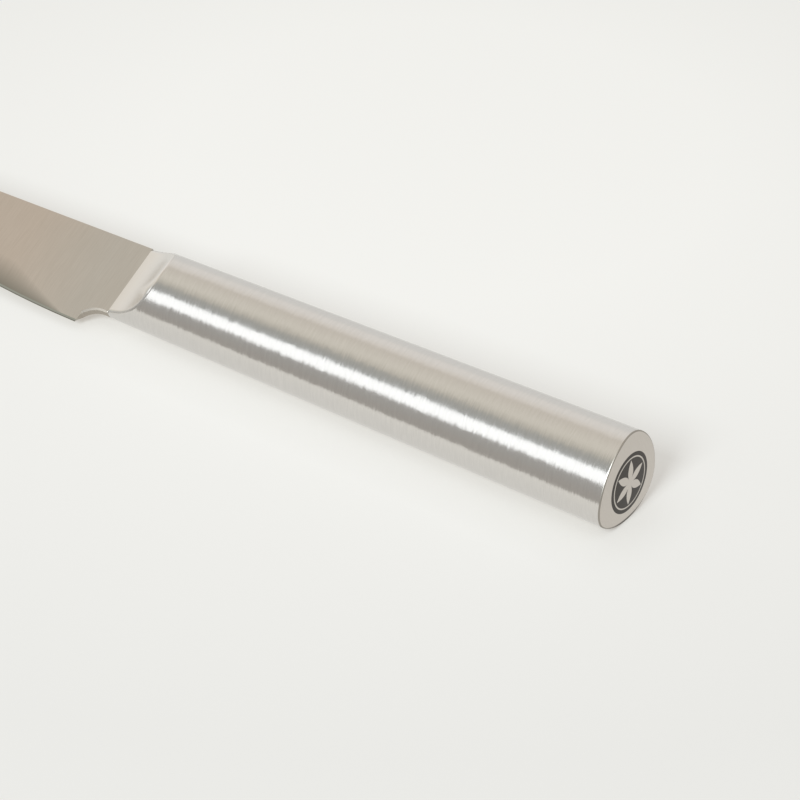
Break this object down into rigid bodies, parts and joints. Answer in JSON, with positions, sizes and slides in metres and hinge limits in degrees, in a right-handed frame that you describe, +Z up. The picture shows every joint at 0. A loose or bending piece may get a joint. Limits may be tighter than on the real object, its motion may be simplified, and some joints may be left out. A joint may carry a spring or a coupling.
{
  "type": "paring knife",
  "caption": "Small kitchen knife with a straight-spined pointed blade, a choil notch at the heel and a smooth egg-section hollow steel handle.",
  "frame": {"origin": "on the surface that the knife rests on, under the middle of its bounding box", "axes": "+X towards the point of the blade, +Z up as the knife lies on one cheek of its handle, +Y towards the cutting edge"},
  "size_m": [0.2096, 0.0194, 0.0182],
  "materials": {
    "blade_steel": "satin ground",
    "handle_steel": "brushed round the handle",
    "butt_steel": "fine ground with a dark etched mark",
    "filler": "cast resin"
  },
  "bodies": {
    "root": {"blade": "blade_steel", "handle_shell_left": "handle_steel", "handle_shell_right": "handle_steel", "butt_cap": "butt_steel", "tang_filler": "filler"}
  },
  "joints": []
}
